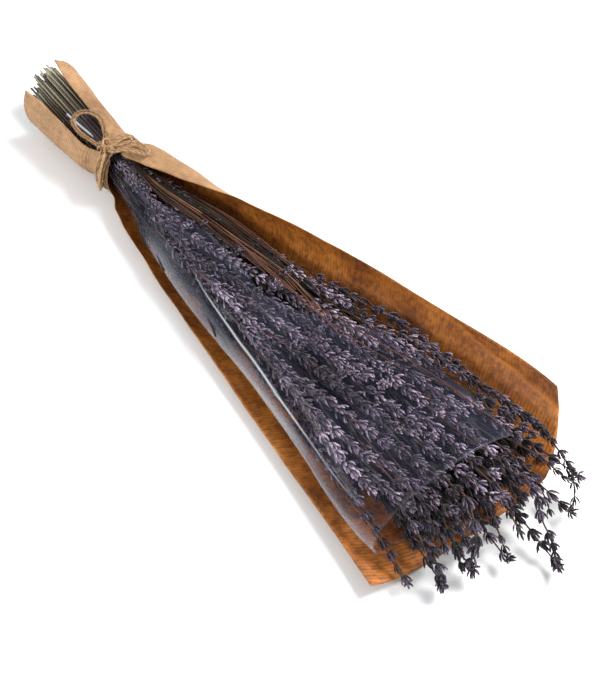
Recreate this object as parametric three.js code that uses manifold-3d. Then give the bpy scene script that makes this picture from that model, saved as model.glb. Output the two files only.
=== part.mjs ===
// A bunch of dried lavender lying on its side: flower spikes on their stems, an open clear film
// sleeve round them, a sheet of kraft paper rolled into a cone round that, and a jute tie.
// Millimetres. +X runs from the cut stem ends to the flower tips, +Z is up, Z = 0 is the surface.
import * as THREE from 'three';
import { mergeVertices } from 'three/addons/utils/BufferGeometryUtils.js';
import Module from 'manifold-3d';

const wasm = await Module();
wasm.setup();

// Driving dimensions
const TIE_X = -144.5;              // where the twine pinches the bunch
const TIE_Y = 1;
const NECK_HEIGHT = 18.6;          // height of the bunch's middle at the tie
const STEM_END_X = -252;           // the cut stem ends
const STEM_RADIUS = 0.95;
const PAPER_THICKNESS = 0.8;
const FILM_THICKNESS = 0.6;
const CLEARANCE = 0.35;            // air left between neighbours
const SEED = 14;

// The twine
const TWINE_RADIUS = 1.45;
const TWINE_SIDES = 6;
const TWINE_PITCH = 3.2;           // from one turn to the next
const TWINE_HEIGHT = 2.1;          // of a turn's middle above the paper
const TURNS = 2;
const TURN_STEPS = 18;
const TIE_YAW = 15;                // the turns run slantwise, in degrees
const TIE_REACH = 16;              // radius of the wrapped neck that the slant is worked out on
const KNOT_ANGLE = -29;            // the knot sits left of the bunch's top, in degrees
const KNOT_SWELL = 1.15;           // the knot's twine against the rest
const KNOT_SIDES = 7;
const KNOT_STEPS = 6;
const LOOP_STEPS = 20;

// The paper along the bunch. side and lift are where the strip that it lies on is, to the right
// and above the surface; left and right are arc lengths from the strip that it lies on to its
// two edges, half of that strip is flat, and the turns are the angles (degrees) that it curls
// through on the way, gathered towards the edge where the power is above 1.
const PAPER = [
  { x: -242, side: 2.5, lift: 0.0, flat: 2.5, left: 48.6, leftTurn: 127, leftPower: 1.0,
    right: 66.5, rightTurn: 162, rightPower: 1.0 },
  { x: -217, side: 2.5, lift: 0.0, flat: 2.5, left: 49.8, leftTurn: 132, leftPower: 1.0,
    right: 63.3, rightTurn: 172, rightPower: 1.0 },
  { x: -200, side: 2.5, lift: 0.2, flat: 2.6, left: 50.4, leftTurn: 134, leftPower: 1.0,
    right: 57.8, rightTurn: 174, rightPower: 1.0 },
  { x: -179, side: 2.5, lift: 1.2, flat: 3.5, left: 49.5, leftTurn: 140, leftPower: 1.0,
    right: 52.4, rightTurn: 180, rightPower: 1.0 },
  { x: -162, side: 2.0, lift: 2.5, flat: 3.8, left: 46.5, leftTurn: 139, leftPower: 1.0,
    right: 48.8, rightTurn: 186, rightPower: 1.0 },
  { x: -152, side: 1, lift: 3.7, flat: 1.2, left: 37.8, leftTurn: 140, leftPower: 1.0,
    right: 52.5, rightTurn: 196, rightPower: 1.0 },
  { x: -138, side: 1, lift: 3.7, flat: 1.2, left: 37.8, leftTurn: 140, leftPower: 1.0,
    right: 52.5, rightTurn: 196, rightPower: 1.0 },
  { x: -126, side: 0, lift: 4.6, flat: 4.0, left: 20, leftTurn: 66, leftPower: 1.2,
    right: 72, rightTurn: 213, rightPower: 1.0 },
  { x: -113, side: 0, lift: 4.2, flat: 7.0, left: 26, leftTurn: 66, leftPower: 1.6,
    right: 73.4, rightTurn: 208, rightPower: 1.0 },
  { x: -90, side: 0, lift: 3.0, flat: 8.0, left: 31, leftTurn: 52, leftPower: 1.6,
    right: 73, rightTurn: 196, rightPower: 1.1 },
  { x: -64, side: 0, lift: 2.0, flat: 8.0, left: 35, leftTurn: 42, leftPower: 1.8,
    right: 67, rightTurn: 163, rightPower: 1.1 },
  { x: -46, side: 0, lift: 1.2, flat: 7.5, left: 38, leftTurn: 36, leftPower: 2.0,
    right: 63, rightTurn: 133, rightPower: 1.0 },
  { x: 6, side: 0, lift: 0.0, flat: 8.0, left: 46, leftTurn: 29, leftPower: 2.0,
    right: 69, rightTurn: 108, rightPower: 1.0 },
  { x: 56, side: 0, lift: 0.0, flat: 9.0, left: 54, leftTurn: 23, leftPower: 2.0,
    right: 74, rightTurn: 91, rightPower: 1.0 },
  { x: 106, side: 0, lift: 0.0, flat: 10.0, left: 62, leftTurn: 20, leftPower: 2.0,
    right: 79, rightTurn: 81, rightPower: 1.0 },
  { x: 170, side: 0, lift: 0.0, flat: 12.0, left: 73, leftTurn: 21, leftPower: 2.0,
    right: 85, rightTurn: 66, rightPower: 1.0 },
  { x: 206, side: 0, lift: 0.0, flat: 13.0, left: 80, leftTurn: 24, leftPower: 2.0,
    right: 83, rightTurn: 62, rightPower: 1.0 },
];
const PAPER_ROWS = [-232, -214, -190, -170, -160, -152, -145, -138, -132, -126, -120, -112, -102,
  -85, -64, -40, -10, 30, 75, 125, 170, 206];
const PAPER_LEFT_STEPS = 8;
const PAPER_RIGHT_STEPS = 12;
const CURL_STEPS = 12;             // finer steps that each step across is added up from
const STEM_END_CUT = { middle: 9, left: 2, right: -7, from: -165, over: 60 };
const FLOWER_END_CUT = { left: -3, right: -26, corner: 0.4, from: 60, over: 146 };

// The room that stems and flowers take up inside the film: its middle, its half widths to the
// left (-Y) and right (+Y), the height of its widest line, and its top and bottom.
const BUNCH = [
  { x: -252, middle: 5, left: 13.0, right: 13.0, waist: 20.0, top: 33.0, low: 7.0 },
  { x: -200, middle: 3, left: 13.0, right: 13.0, waist: 19.4, top: 32.4, low: 6.4 },
  { x: -178, middle: 2.8, left: 12.6, right: 12.2, waist: 17.4, top: 29.4, low: 5.2 },
  { x: -162, middle: 2, left: 12.4, right: 12.0, waist: 17.0, top: 28.4, low: 5.4 },
  { x: -153, middle: 1, left: 12.8, right: 12.6, waist: 18.4, top: 30.0, low: 5.4 },
  { x: -145, middle: 1, left: 13.0, right: 12.8, waist: 18.6, top: 31.2, low: 5.6 },
  { x: -126, middle: 0, left: 13.5, right: 12.5, waist: 18.0, top: 31.0, low: 6.4 },
  { x: -110, middle: -1, left: 16.0, right: 14, waist: 17.0, top: 32.0, low: 6.0 },
  { x: -68, middle: -3, left: 25, right: 19, waist: 15.5, top: 36.0, low: 4.0 },
  { x: -10, middle: -6, left: 32, right: 29, waist: 14.5, top: 39.0, low: 2.4 },
  { x: 50, middle: -8, left: 36, right: 38, waist: 14.5, top: 41.0, low: 2.0 },
  { x: 112, middle: -9, left: 45, right: 47, waist: 14.5, top: 42.5, low: 2.0 },
  { x: 182, middle: -10, left: 56, right: 54, waist: 15.0, top: 43.0, low: 2.0 },
  { x: 250, middle: -8, left: 54, right: 54, waist: 15.0, top: 40.0, low: 2.0 },
];

// The film's free edge over the flowers, as an angle (degrees) round the bunch from its right
const FILM_EDGE = [
  { x: -196, angle: 40 }, { x: -150, angle: 40 }, { x: -128, angle: 75 }, { x: -106, angle: 118 },
  { x: -28, angle: 92 }, { x: 26, angle: 98 }, { x: 79, angle: 64 }, { x: 87, angle: 42 },
  { x: 127, angle: 35 }, { x: 190, angle: 48 },
];
const FILM_ROWS = [-196, -170, -158, -147, -136, -124, -106, -80, -50, -15, 26, 60, 79, 87, 127,
  160, 190];
const FILM_UNDER_ANGLE = 285;      // where its other edge ends, beneath the bunch
const FILM_STEPS = 16;

// Spikes that hang over the paper's edge: where each starts and where its tip comes down
const HANGING_SPIKES = [
  { base: [150, -50, 14], tip: [214, -63, 10], width: 4.2 },
  { base: [156, -38, 15], tip: [224, -49, 8], width: 6.6 },
  { base: [162, -22, 14], tip: [226, -31, 8], width: 7.0 },
  { base: [168, -6, 14], tip: [233, -13, 8], width: 6.2 },
  { base: [182, 12, 15], tip: [252, 5, 7], width: 6.6 },
  { base: [165, 28, 16], tip: [232, 33, 9], width: 5.0 },
  { base: [160, 36, 20], tip: [221, 49, 16], width: 5.0 },
];

// Tiers of spikes, from the flower end back to the tie. Each spike rises from its base to its tip
// between two heights, given as shares of the bunch's depth, so that it lies on the next tier.
const TIERS = [
  { x: 130, count: 7, baseShare: 0.36, tipShare: 0.84, width: 6.8, length: 74 },
  { x: 90, count: 7, baseShare: 0.36, tipShare: 0.86, width: 6.6, length: 74 },
  { x: 50, count: 6, baseShare: 0.36, tipShare: 0.86, width: 6.4, length: 72 },
  { x: 10, count: 5, baseShare: 0.36, tipShare: 0.86, width: 6.2, length: 70 },
  { x: -29, count: 5, baseShare: 0.42, tipShare: 0.88, width: 5.8, length: 66 },
  { x: -66, count: 4, baseShare: 0.46, tipShare: 0.9, width: 5.2, length: 60 },
  { x: -102, count: 3, baseShare: 0.56, tipShare: 0.92, width: 4.4, length: 54 },
];
const NECK_CORE = { radius: 11, length: 16, sides: 12 };   // the stems pressed together at the tie
const NECK_SPREAD = 8.6;           // how far out in the neck the outermost stems run
const SHOULDER_X = -104;           // where the stems have sunk below the first flowers
const SHOULDER_GAP = 30;           // a stem ending nearer to it than this runs straight
const STEM_LEAD = 12;              // a stem's last stretch, in line with its spike
const TRIES = 400;                 // draws for a spike before its place is left empty
const STEM_DRAWS = 40;             // courses tried for the stem of each draw
const STEM_STEPS = 7;
const FILM_MARGIN = 0.9;           // room kept to the film's curve for its straight facets
const BALL_SHARE = 0.8;            // size of the balls that stand for a spike, by its width
const BALLS = 14;                  // how many of them
const SPIKE_SIDES = 6;
const WHORL_PITCH = 9.5;
const LAST_WHORL = 0.97;           // where it sits, as a share of the spike's length
const CORE_SHARE = 0.34;           // the core's radius by the spike's
const APEX_STEP = 1.25;            // how far a floret's point leans forward, in whorls
const HANGING_DROOP = 3;
const TIER_DROOP = 0.5;

// Numbers that vary along the bunch

function smoothAt(stations, key, x) {
  const last = stations.length - 1;
  if (x <= stations[0].x) return stations[0][key];
  if (x >= stations[last].x) return stations[last][key];
  let i = 0;
  while (x > stations[i + 1].x) i += 1;
  const slope = (j) => (j < 0 || j >= last ? 0
    : (stations[j + 1][key] - stations[j][key]) / (stations[j + 1].x - stations[j].x));
  const knot = (j) => {
    if (j === 0) return slope(0);
    if (j === last) return slope(last - 1);
    const before = slope(j - 1);
    const after = slope(j);
    return before * after <= 0 ? 0 : (2 * before * after) / (before + after);
  };
  const a = stations[i];
  const b = stations[i + 1];
  const h = b.x - a.x;
  const t = (x - a.x) / h;
  return (1 + 2 * t) * (1 - t) ** 2 * a[key] + t * (1 - t) ** 2 * h * knot(i)
    + t * t * (3 - 2 * t) * b[key] + t * t * (t - 1) * h * knot(i + 1);
}

const radians = (degrees) => degrees * Math.PI / 180;
const mix = (a, b, t) => a + (b - a) * t;
const clamp01 = (t) => Math.min(1, Math.max(0, t));
const smoothstep = (t) => clamp01(t) ** 2 * (3 - 2 * clamp01(t));

function randomSource(seed) {
  let state = seed;
  return () => {
    state = (state + 0x6D2B79F5) | 0;
    let t = Math.imul(state ^ (state >>> 15), 1 | state);
    t = (t + Math.imul(t ^ (t >>> 7), 61 | t)) ^ t;
    return ((t ^ (t >>> 14)) >>> 0) / 4294967296;
  };
}

// Thin sheets and solids

function geometryFrom(points, faces) {
  const geometry = new THREE.BufferGeometry();
  const flat = points.flatMap((p) => [p.x, p.y, p.z]);
  geometry.setAttribute('position', new THREE.Float32BufferAttribute(flat, 3));
  geometry.setIndex(faces.flat());
  return geometry;
}

// A closed thin solid from rows of points on one face, its other face `thickness` further along
// the normal that (along the rows) x (across them) gives
function sheetSolid(rows, thickness) {
  const nRow = rows.length;
  const nCol = rows[0].length;
  const inner = rows.map((row, i) => row.map((point, j) => {
    const along = rows[Math.min(i + 1, nRow - 1)][j].clone().sub(rows[Math.max(i - 1, 0)][j]);
    const across = row[Math.min(j + 1, nCol - 1)].clone().sub(row[Math.max(j - 1, 0)]);
    const normal = along.cross(across).normalize();
    return point.clone().addScaledVector(normal, thickness);
  }));
  const points = [...rows.flat(), ...inner.flat()];
  const outerAt = ([i, j]) => i * nCol + j;
  const innerAt = ([i, j]) => nRow * nCol + i * nCol + j;
  const faces = [];
  for (let i = 0; i < nRow - 1; i += 1) {
    for (let j = 0; j < nCol - 1; j += 1) {
      const [a, b, c, d] = [[i, j], [i + 1, j], [i + 1, j + 1], [i, j + 1]];
      faces.push([outerAt(a), outerAt(c), outerAt(b)], [outerAt(a), outerAt(d), outerAt(c)]);
      faces.push([innerAt(a), innerAt(b), innerAt(c)], [innerAt(a), innerAt(c), innerAt(d)]);
    }
  }
  const rim = [];
  for (let j = 0; j < nCol - 1; j += 1) rim.push([0, j]);
  for (let i = 0; i < nRow - 1; i += 1) rim.push([i, nCol - 1]);
  for (let j = nCol - 1; j > 0; j -= 1) rim.push([nRow - 1, j]);
  for (let i = nRow - 1; i > 0; i -= 1) rim.push([i, 0]);
  rim.forEach((from, k) => {
    const to = rim[(k + 1) % rim.length];
    faces.push([outerAt(from), innerAt(from), innerAt(to)], [outerAt(from), innerAt(to), outerAt(to)]);
  });
  return geometryFrom(points, faces);
}

function toSolid(geometry) {
  const bare = geometry.clone();
  bare.deleteAttribute('normal');
  bare.deleteAttribute('uv');
  const merged = mergeVertices(bare, 1e-4);
  return new wasm.Manifold(new wasm.Mesh({
    numProp: 3,
    vertProperties: new Float32Array(merged.attributes.position.array),
    triVerts: new Uint32Array(merged.index.array),
  }));
}

function fromSolid(solid) {
  const mesh = solid.getMesh();
  const geometry = new THREE.BufferGeometry();
  geometry.setAttribute('position', new THREE.BufferAttribute(mesh.vertProperties, 3));
  geometry.setIndex(new THREE.BufferAttribute(mesh.triVerts, 1));
  return geometry;
}

const fuse = (geometries) => fromSolid(geometries.map(toSolid).reduce((all, next) => all.add(next)));

function tube(points, radius, sides, steps) {
  const ring = [];
  for (let k = 0; k < sides; k += 1) {
    const angle = (k + 0.5) * 2 * Math.PI / sides;
    ring.push(new THREE.Vector2(radius * Math.cos(angle), radius * Math.sin(angle)));
  }
  const path = new THREE.CatmullRomCurve3(points, false, 'centripetal');
  return new THREE.ExtrudeGeometry(new THREE.Shape(ring), {
    steps, extrudePath: path, bevelEnabled: false, curveSegments: 1,
  });
}

// Paper

// Points across one side of the paper, from the end of its flat strip out to its edge
function curledSide(width, flat, turn, power, steps) {
  const points = [];
  const fine = steps * CURL_STEPS;
  let y = flat;
  let z = 0;
  const arc = width - flat;
  for (let k = 0; k <= fine; k += 1) {
    if (k % CURL_STEPS === 0) points.push([y, z]);
    const angle = radians(turn) * ((k + 0.5) / fine) ** power;
    y += Math.cos(angle) * arc / fine;
    z += Math.sin(angle) * arc / fine;
  }
  return points;
}

function paperSection(x) {
  const value = (key) => smoothAt(PAPER, key, x);
  const half = (name, steps) => curledSide(
    value(name), value('flat'), value(`${name}Turn`), value(`${name}Power`), steps);
  const side = value('side');
  const lift = value('lift');
  const left = half('left', PAPER_LEFT_STEPS).map(([y, z]) => [side - y, z + lift]);
  const right = half('right', PAPER_RIGHT_STEPS).map(([y, z]) => [side + y, z + lift]);
  return [...left.reverse(), ...right];
}

// How far the cut end steps back from its furthest point, for a share across from -1 (left) to 1
function stemEndStep(share) {
  return mix(STEM_END_CUT.middle, share > 0 ? STEM_END_CUT.right : STEM_END_CUT.left, share ** 2);
}

// How far the flower end steps back, most of it in the right corner
function flowerEndStep(share) {
  const { left, right, corner } = FLOWER_END_CUT;
  return share > corner ? right * ((share - corner) / (1 - corner)) ** 1.3 : left * share ** 4;
}

function paperWrap() {
  const nCol = PAPER_LEFT_STEPS + PAPER_RIGHT_STEPS + 2;
  const rows = PAPER_ROWS.map((rowX) => {
    const row = [];
    for (let j = 0; j < nCol; j += 1) {
      const share = j <= PAPER_LEFT_STEPS ? j / PAPER_LEFT_STEPS - 1
        : (j - PAPER_LEFT_STEPS - 1) / PAPER_RIGHT_STEPS;
      const x = rowX
        + stemEndStep(share) * smoothstep((STEM_END_CUT.from - rowX) / STEM_END_CUT.over)
        + flowerEndStep(share) * smoothstep((rowX - FLOWER_END_CUT.from) / FLOWER_END_CUT.over);
      const [y, z] = paperSection(x)[j];
      row.push(new THREE.Vector3(x, y, z));
    }
    return row;
  });
  return sheetSolid(rows, PAPER_THICKNESS);
}

// Film

// A point of the bunch's outline at an angle round it
function bunchPoint(x, angle) {
  const value = (key) => smoothAt(BUNCH, key, x);
  const cos = Math.cos(angle);
  const sin = Math.sin(angle);
  const side = cos > 0 ? value('right') : value('left');
  const rise = sin > 0 ? value('top') - value('waist') : value('waist') - value('low');
  const y = value('middle') + side * cos;
  return new THREE.Vector3(x, y, value('waist') + rise * sin);
}

function filmSleeve() {
  const rows = FILM_ROWS.map((x) => {
    const edge = smoothAt(FILM_EDGE, 'angle', x);
    const row = [];
    for (let j = 0; j <= FILM_STEPS; j += 1) {
      row.push(bunchPoint(x, radians(mix(FILM_UNDER_ANGLE, edge, j / FILM_STEPS))));
    }
    return row;
  });
  return sheetSolid(rows, FILM_THICKNESS);
}

// Flower spikes

// A spike follows a curve from its base to its tip: straight, or drooping as it goes
function spikeCurve(base, tip, droop) {
  const middle = new THREE.Vector3().addVectors(base, tip).multiplyScalar(0.5);
  middle.z += droop;
  return new THREE.QuadraticBezierCurve3(base, middle, tip);
}

// Whorls of pointed florets raised from a slim six-sided core, leaning forward, with every
// second whorl turned by half a floret
function spikeGeometry(spike) {
  const length = spike.curve.getLength();
  const whorls = Math.max(4, Math.round(length / WHORL_PITCH));
  const points = [];
  const faces = [];
  const frameAt = (t) => {
    const centre = spike.curve.getPoint(clamp01(t));
    const ahead = spike.curve.getTangent(clamp01(t));
    const side = new THREE.Vector3(0, 0, 1).cross(ahead).normalize();
    const up = ahead.clone().cross(side);
    if (t > 1) centre.addScaledVector(ahead, (t - 1) * length);
    return { centre, side, up };
  };
  const place = (t, radius, angle) => {
    const { centre, side, up } = frameAt(t);
    centre.addScaledVector(side, radius * Math.cos(angle));
    centre.addScaledVector(up, radius * Math.sin(angle));
    points.push(centre);
    return points.length - 1;
  };
  const step = 2 * Math.PI / SPIKE_SIDES;
  const taper = (t) => 1 - 0.62 * t ** 1.6;
  const rings = [];
  for (let k = 0; k <= whorls; k += 1) {
    const t = LAST_WHORL * k / whorls;
    const radius = k === 0 ? 1.1 : spike.width * CORE_SHARE * taper(t);
    const ring = [];
    for (let i = 0; i < SPIKE_SIDES; i += 1) {
      ring.push(place(t, radius, spike.twist + (i + k / 2) * step));
    }
    rings.push(ring);
  }
  for (let k = 0; k < whorls; k += 1) {
    const apexT = LAST_WHORL * (k + APEX_STEP) / whorls;
    const apexRadius = spike.width * taper(LAST_WHORL * k / whorls);
    for (let i = 0; i < SPIKE_SIDES; i += 1) {
      const rear = rings[k][i];
      const rearNext = rings[k][(i + 1) % SPIKE_SIDES];
      const front = rings[k + 1][i];
      const frontBefore = rings[k + 1][(i + SPIKE_SIDES - 1) % SPIKE_SIDES];
      const apex = place(apexT, apexRadius, spike.twist + (i + 0.5 + k / 2) * step);
      faces.push([rear, rearNext, apex], [rearNext, front, apex], [front, rear, apex]);
      faces.push([rear, front, frontBefore]);
    }
  }
  const end = place(1, 0, 0);
  const start = place(0, 0, 0);
  for (let i = 0; i < SPIKE_SIDES; i += 1) {
    const next = (i + 1) % SPIKE_SIDES;
    faces.push([rings[whorls][i], rings[whorls][next], end], [rings[0][next], rings[0][i], start]);
  }
  return geometryFrom(points, faces);
}

// Balls along a spike, for keeping spikes and stems apart
function spikeBalls(spike) {
  const balls = [];
  for (let k = 0; k <= BALLS; k += 1) {
    const t = k / BALLS;
    const reach = spike.width * (k === 0 ? 0.5 : 1 - 0.57 * Math.max(0, t - 0.14) ** 1.5);
    balls.push({ at: spike.curve.getPoint(t), reach, radius: BALL_SHARE * reach });
  }
  return balls;
}

// A stem runs from its cut end through the tie, sinks below the flowers, and rises to its spike
function stemCourse(spike, random) {
  const base = spike.curve.getPoint(0);
  const ahead = spike.curve.getTangent(0);
  const neckY = NECK_SPREAD * (2 * spike.sideways - 1) + 5 * (random() - 0.5);
  const neckZ = mix(NECK_SPREAD, -NECK_SPREAD, clamp01((base.x - TIE_X) / 300)) + 7 * (random() - 0.5);
  const shrink = NECK_SPREAD / Math.max(NECK_SPREAD, Math.hypot(neckY, neckZ));
  const neck = new THREE.Vector3(TIE_X, TIE_Y + neckY * shrink, NECK_HEIGHT + neckZ * shrink);
  const cutX = STEM_END_X + 12 * random();
  const cut = new THREE.Vector3(cutX, 4.5 + neck.y * 1.2, mix(NECK_HEIGHT, neck.z, 1.12) + 1);
  const lead = base.clone().addScaledVector(ahead, -STEM_LEAD);
  const end = base.clone().addScaledVector(ahead, -CLEARANCE);
  const points = [cut, neck];
  if (lead.x > SHOULDER_X + SHOULDER_GAP) {
    const shoulder = neck.clone().lerp(lead, (SHOULDER_X - TIE_X) / (lead.x - TIE_X));
    const middle = neck.clone().lerp(lead, 0.66);
    [shoulder, middle].forEach((point) => {
      point.z = smoothAt(BUNCH, 'low', point.x) + 2.2 + 6 * random();
      point.y += 3 * (random() - 0.5);
    });
    points.push(shoulder);
    if (middle.x > SHOULDER_X + SHOULDER_GAP) points.push(middle);
  }
  const course = new THREE.CatmullRomCurve3([...points, lead, end], false, 'centripetal');
  return course.getSpacedPoints(STEM_STEPS);
}

function segmentGap(a, b, balls, radius) {
  let least = Infinity;
  const line = new THREE.Line3(a, b);
  const near = new THREE.Vector3();
  balls.forEach((ball) => {
    line.closestPointToPoint(ball.at, true, near);
    least = Math.min(least, near.distanceTo(ball.at) - ball.radius - radius);
  });
  return least;
}

const courseClear = (course, balls) => course.slice(1).every(
  (point, k) => segmentGap(course[k], point, balls, STEM_RADIUS + CLEARANCE) > 0);

const ballsClear = (balls, others) => balls.every((mine) => others.every(
  (ball) => mine.at.distanceTo(ball.at) > mine.radius + ball.radius + CLEARANCE));

// How far a point lies inside the outline of the bunch
function depthInside(point) {
  let least = Infinity;
  for (let k = 0; k < 36; k += 1) {
    least = Math.min(least, bunchPoint(point.x, k * Math.PI / 18).distanceTo(point));
  }
  return least;
}

// Balls along the straight stretches of a stem
const courseBalls = (course) => course.slice(1).flatMap((point, k) => [0.25, 0.5, 0.75, 1].map(
  (t) => ({ at: course[k].clone().lerp(point, t), radius: STEM_RADIUS })));

// Finds a course for the spike's stem that keeps clear of the film and of every other spike, and
// runs into as few other stems as can be
function findStem(spike, others, random) {
  let best = null;
  let fewest = Infinity;
  for (let draw = 0; draw < STEM_DRAWS; draw += 1) {
    const course = stemCourse(spike, random);
    const balls = courseBalls(course);
    const inside = balls.every(({ at }) => at.x > FILM_ROWS.at(-1)
      || depthInside(at) > STEM_RADIUS + FILM_MARGIN);
    if (!inside || !others.every((other) => courseClear(course, other.balls))) continue;
    const crossings = others.filter((other) => !courseClear(other.stem, balls)).length;
    if (crossings >= fewest) continue;
    best = course;
    fewest = crossings;
  }
  return best;
}

// Whether the spike, swollen by the air to be left, stays out of the other spikes' florets
function floretsClear(spike, others) {
  const swollen = toSolid(spikeGeometry({ ...spike, width: spike.width + CLEARANCE }));
  return others.every((other) => swollen.intersect(other.solid).isEmpty());
}

function fits(spike, others, random) {
  spike.balls = spikeBalls(spike);
  if (!others.every((other) => ballsClear(spike.balls, other.balls))) return false;
  if (!others.every((other) => courseClear(other.stem, spike.balls))) return false;
  if (!floretsClear(spike, others)) return false;
  spike.stem = findStem(spike, others, random);
  if (spike.stem === null) return false;
  spike.solid = toSolid(spikeGeometry(spike));
  return true;
}

// The hanging spikes stay where they are named; only their stems are drawn
function placeHanging(spikes, random) {
  HANGING_SPIKES.forEach(({ base, tip, width }) => {
    const curve = spikeCurve(new THREE.Vector3(...base), new THREE.Vector3(...tip), HANGING_DROOP);
    const spike = { curve, width, sideways: clamp01((base[1] + 60) / 110), twist: random() };
    for (let attempt = 0; attempt < TRIES; attempt += 1) {
      if (!fits(spike, spikes, random)) continue;
      spikes.push(spike);
      return;
    }
  });
}

// One spike of a tier, `across` from 0 at the bunch's left side to 1 at its right side
function tierSpike(tier, across, random) {
  const width = tier.width * mix(0.88, 1.06, random());
  const baseX = tier.x + 26 * (random() - 0.5);
  const tipX = baseX + tier.length * mix(0.88, 1.1, random());
  const sideways = clamp01(across + 0.9 * (random() - 0.5) / tier.count);
  const at = (x, heightShare, margin) => {
    const radius = margin + FILM_MARGIN;
    const value = (key) => smoothAt(BUNCH, key, x);
    const z = mix(value('low') + radius, value('top') - radius, heightShare);
    const rise = z > value('waist') ? (z - value('waist')) / (value('top') - value('waist'))
      : (value('waist') - z) / (value('waist') - value('low'));
    const reach = Math.sqrt(1 - rise ** 2);
    const left = value('middle') - value('left') * reach + radius;
    const right = value('middle') + value('right') * reach - radius;
    return new THREE.Vector3(x, mix(left, right, sideways), z);
  };
  const heightJitter = 0.2 * (random() - 0.5);
  const base = at(baseX, tier.baseShare + heightJitter, width);
  const tip = at(tipX, tier.tipShare + heightJitter, width * 0.6);
  return { curve: spikeCurve(base, tip, TIER_DROOP), width, sideways, twist: random() };
}

const insideFilm = (spike) => spikeBalls(spike).every(
  (ball) => depthInside(ball.at) > ball.reach + FILM_MARGIN);

function placeSpikes() {
  const random = randomSource(SEED);
  const spikes = [];
  placeHanging(spikes, random);
  TIERS.forEach((tier) => {
    for (let k = 0; k < tier.count; k += 1) {
      for (let attempt = 0; attempt < TRIES; attempt += 1) {
        const spike = tierSpike(tier, (k + 0.5) / tier.count, random);
        if (!insideFilm(spike) || !fits(spike, spikes, random)) continue;
        spikes.push(spike);
        break;
      }
    }
  });
  return spikes;
}

// Stems

function stemBundle(spikes) {
  const { radius, length, sides } = NECK_CORE;
  const ring = [];
  for (let k = 0; k < sides; k += 1) {
    const angle = 2 * Math.PI * k / sides;
    ring.push(new THREE.Vector2(radius * Math.cos(angle), radius * Math.sin(angle)));
  }
  const core = new THREE.ExtrudeGeometry(new THREE.Shape(ring), {
    depth: length, bevelEnabled: false, curveSegments: 1,
  });
  core.rotateY(Math.PI / 2);
  core.translate(TIE_X - length / 2, TIE_Y, NECK_HEIGHT);
  return fuse([core, ...spikes.map((spike) => tube(spike.stem, STEM_RADIUS, 4, STEM_STEPS))]);
}

// Tie

// A point over the wrapped bunch: distance along it from the tie, angle from the top to the
// right, and height over the paper, or over the gap between its edges
function overWrap(along, angle, height) {
  const x = TIE_X + along;
  const centre = smoothAt(BUNCH, 'waist', x);
  const middle = smoothAt(BUNCH, 'middle', x);
  const polar = paperSection(x).map(([y, z]) => new THREE.Vector2(z - centre, y - middle));
  const direction = new THREE.Vector2(Math.cos(radians(angle)), Math.sin(radians(angle)));
  let reach = 0;
  for (let k = 1; k < polar.length; k += 1) {
    const sideA = direction.cross(polar[k - 1]);
    const sideB = direction.cross(polar[k]);
    if (sideA * sideB > 0) continue;
    const point = polar[k - 1].clone().lerp(polar[k], sideA / (sideA - sideB));
    if (point.dot(direction) > 0) reach = Math.max(reach, point.length());
  }
  if (reach === 0) reach = Math.max(polar[0].length(), polar.at(-1).length());
  const out = reach + height;
  return new THREE.Vector3(x, middle + out * direction.y, centre + out * direction.x);
}

// A smooth course over the wrapped bunch through (along, angle, height) points
function onWrap(stops, steps) {
  const course = new THREE.CatmullRomCurve3(stops.map((stop) => new THREE.Vector3(...stop)));
  return course.getPoints(steps).map(({ x, y, z }) => overWrap(x, y, z));
}

// The bow's three loops and the knot's three turns, as stops over the wrapped bunch
const TIE_LOOPS = [
  [[0.5, -34, 5], [-12, -37, 3.2], [-21.5, -39, 2.6], [-31, -36, 2.6], [-33, -22, 2.6],
    [-29, -10, 2.6], [-21, -3, 2.8], [-13, -5, 3], [-6.5, -14, 3.6], [1, -26, 5]],
  [[3, -24, 5], [9, 0, 3.8], [18, 10, 3], [28, 14, 2.8], [31, 9, 2.8], [25.5, 2, 3],
    [16, -13, 3.2], [5, -29, 5]],
  [[2, -34, 5], [4.5, -50, 5.2], [6, -72, 5], [8, -96, 4.6], [11, -100, 4.6], [12, -84, 5],
    [10, -62, 5.2], [6, -38, 5.2]],
];
const KNOT_TURNS = [
  [[-3, -38, 3.4], [0, -33, 6.2], [4, -26, 6.0], [6, -17, 3.6]],
  [[5, -40, 3.2], [3, -33, 6.8], [-1, -25, 6.8], [-3, -17, 3.4]],
  [[-3, -31, 3.2], [-2, -29, 5.6], [4, -28, 5.8], [6, -29, 3.4]],
];

// The turns round the neck, one length of twine wound on slantwise
function twineTurns() {
  const course = [];
  for (let k = 0; k <= TURNS * TURN_STEPS; k += 1) {
    const turn = k / TURN_STEPS;
    const angle = KNOT_ANGLE + 360 * turn;
    const slant = -Math.tan(radians(TIE_YAW)) * TIE_REACH * Math.sin(radians(angle));
    course.push(overWrap((turn - TURNS / 2) * TWINE_PITCH + slant, angle, TWINE_HEIGHT));
  }
  return tube(course, TWINE_RADIUS, TWINE_SIDES, TURNS * TURN_STEPS);
}

function twineTie() {
  const knot = KNOT_TURNS.map((turn) => tube(
    onWrap(turn, KNOT_STEPS), TWINE_RADIUS * KNOT_SWELL, KNOT_SIDES, KNOT_STEPS));
  const loops = TIE_LOOPS.map((loop) => tube(
    onWrap(loop, LOOP_STEPS), TWINE_RADIUS, TWINE_SIDES, LOOP_STEPS));
  return fuse([twineTurns(), ...knot, ...loops]);
}

// The finished bunch

function finish(color, roughness) {
  return new THREE.MeshStandardMaterial({ color, roughness, metalness: 0, flatShading: true });
}

const bunch = new THREE.Group();

function add(name, geometry, material) {
  const mesh = new THREE.Mesh(geometry, material);
  mesh.name = name;
  bunch.add(mesh);
}

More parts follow.
